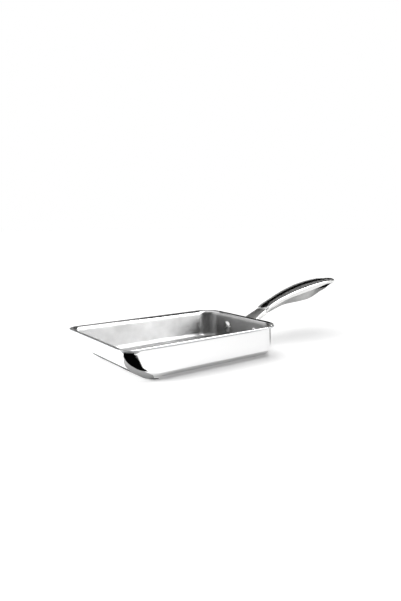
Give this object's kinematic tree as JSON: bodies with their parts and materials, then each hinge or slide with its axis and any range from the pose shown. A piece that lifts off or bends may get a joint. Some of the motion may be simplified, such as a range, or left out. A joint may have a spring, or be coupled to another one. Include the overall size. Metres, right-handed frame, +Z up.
{
  "type": "tamagoyaki pan",
  "caption": "Rectangular rolled-omelette pan in clad stainless steel with a flared rim and a long arched hollow handle riveted to one end.",
  "frame": {"origin": "on the floor under the pan, below the centre of the rim's length and width", "axes": "+X from the low curved front towards the handle, +Y across the pan to the left when looking from the front to the handle, +Z up"},
  "size_m": [0.367, 0.134, 0.0732],
  "materials": {
    "outer_skin": "mirror-polished magnetic stainless steel",
    "aluminium_core": "plain rolled aluminium, seen only at the lip's cut edge",
    "inner_skin": "satin-brushed stainless steel",
    "handle_bracket": "cast stainless steel, polished",
    "grip_upper_shell": "pressed stainless steel, polished",
    "grip_lower_shell": "pressed stainless steel, fine satin",
    "hanging_eyelet": "stainless steel tube, satin",
    "rivet_left": "cold-headed stainless steel, polished",
    "rivet_right": "cold-headed stainless steel, polished"
  },
  "bodies": {
    "root": {"outer_skin": "outer_skin", "aluminium_core": "aluminium_core", "inner_skin": "inner_skin", "handle_bracket": "handle_bracket", "grip_upper_shell": "grip_upper_shell", "grip_lower_shell": "grip_lower_shell", "hanging_eyelet": "hanging_eyelet", "rivet_left": "rivet_left", "rivet_right": "rivet_right"}
  },
  "joints": []
}
